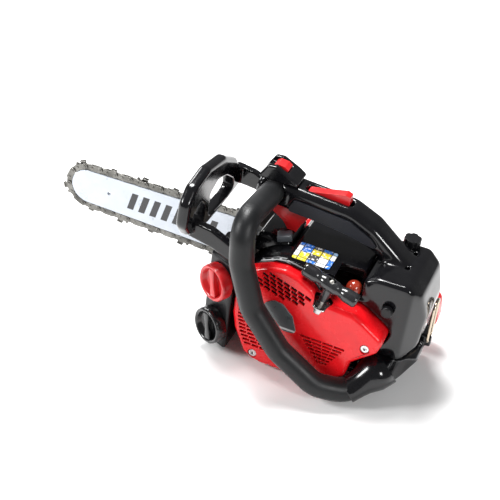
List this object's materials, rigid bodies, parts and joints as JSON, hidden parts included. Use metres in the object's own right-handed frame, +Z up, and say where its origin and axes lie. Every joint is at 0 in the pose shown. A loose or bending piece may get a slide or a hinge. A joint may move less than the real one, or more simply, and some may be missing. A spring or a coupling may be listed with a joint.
{
  "type": "chainsaw",
  "caption": "Small top-handle chainsaw with a slim bar and chain, wrap-round front handle, hand guard, side recoil starter, tank caps and a folding lanyard ring.",
  "frame": {"origin": "on the flat base, straight below the crankshaft, in the top handle's middle plane", "axes": "+X to the rear, +Y to the bar side, +Z up; the bar points along -X"},
  "size_m": [0.4546, 0.1885, 0.2049],
  "materials": {
    "cast_metal": "cast aluminium, bead blasted",
    "spark_metal": "plated steel with ceramic",
    "black_rubber": "moulded rubber",
    "sleeve_rubber": "matt dark grey rubber sleeve",
    "machined_steel": "machined steel",
    "dark_plastic": "dark glass-filled nylon",
    "gloss_black": "black glossy nylon",
    "red_gloss": "bright red glossy plastic",
    "red_controls": "red plastic",
    "bright_fasteners": "zinc-plated steel",
    "bar_plate": "pale lacquered steel",
    "chain_steel": "chromed chain steel, oiled",
    "badge_grey": "dark grey badge film with a silver stripe",
    "label_film": "printed film",
    "rope_fibre": "braided cord",
    "muffler_steel": "heat-stained sheet steel",
    "ring_metal": "plated wire",
    "clear_bulb": "translucent orange bulb",
    "filter_foam": "filter felt"
  },
  "bodies": {
    "frame": {"air_filter": "filter_foam", "bar_nuts": "bright_fasteners", "bar_studs": "bright_fasteners", "carburettor": "cast_metal", "case_screws": "bright_fasteners", "chain_rivets": "chain_steel", "chassis": "dark_plastic", "clutch_cover": "red_gloss", "clutch_drum": "machined_steel", "crankcase_left": "cast_metal", "crankcase_right": "cast_metal", "cutters": "chain_steel", "cylinder": "cast_metal", "drive_links": "chain_steel", "front_handle": "sleeve_rubber", "front_tank": "dark_plastic", "guide_bar": "bar_plate", "handle_grip": "sleeve_rubber", "ignition_coil": "spark_metal", "instruction_label": "label_film", "intake_boot": "black_rubber", "isolators": "black_rubber", "main_bearings": "machined_steel", "muffler": "muffler_steel", "oil_pump": "cast_metal", "rear_housing": "gloss_black", "recoil_spring": "machined_steel", "rope_guide": "bright_fasteners", "side_housing": "dark_plastic", "spark_plug": "spark_metal", "spark_plug_boot": "black_rubber", "starter_badge": "badge_grey", "starter_cover": "red_gloss", "switch_housing": "gloss_black", "tie_straps": "chain_steel", "top_cover": "gloss_black", "top_handle": "gloss_black"},
    "crank": {"crankshaft": "machined_steel", "flywheel": "cast_metal", "clutch_hub": "machined_steel"},
    "piston_set": {"piston": "machined_steel", "piston_rings": "machined_steel", "wrist_pin": "machined_steel", "con_rod": "machined_steel", "crankpin": "machined_steel"},
    "shoe_front": {"clutch_shoe_front": "machined_steel"},
    "shoe_rear": {"clutch_shoe_rear": "machined_steel"},
    "pulley": {"starter_pulley": "dark_plastic"},
    "grip": {"starter_grip": "dark_plastic", "starter_rope": "rope_fibre"},
    "fuel_cap": {"fuel_cap": "red_controls"},
    "oil_cap": {"oil_cap": "dark_plastic"},
    "guard": {"hand_guard": "gloss_black"},
    "trigger": {"throttle_trigger": "red_controls"},
    "lockout": {"throttle_lockout": "red_controls"},
    "switch": {"stop_switch": "red_controls"},
    "choke": {"choke_knob": "dark_plastic"},
    "knob": {"housing_knob": "dark_plastic"},
    "bulb": {"purge_bulb": "clear_bulb"},
    "ring": {"lanyard_ring": "ring_metal"}
  },
  "joints": [
    {"name": "crank_spin", "type": "hinge", "parent": "frame", "child": "crank", "pos_m": [0, 0, 0.068], "axis": [0, 1, 0], "continuous": true},
    {"name": "piston_slide", "type": "slide", "parent": "frame", "child": "piston_set", "axis": [-0.9063, 0, 0.4226], "range_m": [-0.028, 0]},
    {"name": "shoe_front_slide", "type": "slide", "parent": "crank", "child": "shoe_front", "axis": [-1, 0, 0], "range_m": [0, 0.0006], "stiffness_N_per_m": 4000},
    {"name": "shoe_rear_slide", "type": "slide", "parent": "crank", "child": "shoe_rear", "axis": [1, 0, 0], "range_m": [0, 0.0006], "stiffness_N_per_m": 4000},
    {"name": "grip_pull", "type": "slide", "parent": "frame", "child": "grip", "axis": [0.2105, -0.1003, 0.9724], "range_m": [0, 0.6], "stiffness_N_per_m": 20, "springref_m": -0.1},
    {"name": "pulley_spin", "type": "hinge", "parent": "frame", "child": "pulley", "pos_m": [0, 0, 0.068], "axis": [0, 1, 0], "range_deg": [0, 1719.87]},
    {"name": "fuel_cap_turn", "type": "hinge", "parent": "frame", "child": "fuel_cap", "pos_m": [-0.10325, -0.065, 0.088], "axis": [-0.4733, -0.8809, 0], "range_deg": [0, 90]},
    {"name": "oil_cap_turn", "type": "hinge", "parent": "frame", "child": "oil_cap", "pos_m": [-0.10325, -0.065, 0.032], "axis": [-0.4733, -0.8809, 0], "range_deg": [0, 90]},
    {"name": "guard_tilt", "type": "hinge", "parent": "frame", "child": "guard", "pos_m": [-0.086, 0, 0.124], "axis": [0, -1, 0], "range_deg": [0, 14]},
    {"name": "trigger_squeeze", "type": "hinge", "parent": "frame", "child": "trigger", "pos_m": [-0.042, 0, 0.16], "axis": [0, 1, 0], "range_deg": [0, 14], "stiffness_Nm_per_rad": 0.15, "springref_deg": -17.19},
    {"name": "lockout_press", "type": "hinge", "parent": "frame", "child": "lockout", "pos_m": [-0.042, 0, 0.18], "axis": [0, 1, 0], "range_deg": [0, 7], "stiffness_Nm_per_rad": 0.15, "springref_deg": -17.19},
    {"name": "switch_slide", "type": "slide", "parent": "frame", "child": "switch", "axis": [-1, 0, 0], "range_m": [0, 0.005]},
    {"name": "choke_pull", "type": "slide", "parent": "frame", "child": "choke", "axis": [0, -1, 0], "range_m": [0, 0.01]},
    {"name": "knob_turn", "type": "hinge", "parent": "frame", "child": "knob", "pos_m": [0.064, 0.026, 0.14], "axis": [0, 0, 1], "range_deg": [0, 90]},
    {"name": "bulb_press", "type": "slide", "parent": "frame", "child": "bulb", "axis": [0, 0, -1], "range_m": [0, 0.002], "stiffness_N_per_m": 800, "springref_m": -0.0005},
    {"name": "ring_fold", "type": "hinge", "parent": "frame", "child": "ring", "pos_m": [0.108, 0, 0.054], "axis": [0, 1, 0], "range_deg": [0, 120]}
  ],
  "couplings": [
    {"joint": "shoe_rear_slide", "follows": "shoe_front_slide", "ratio": 1},
    {"joint": "pulley_spin", "follows": "grip_pull", "rad_per_m": 50}
  ]
}
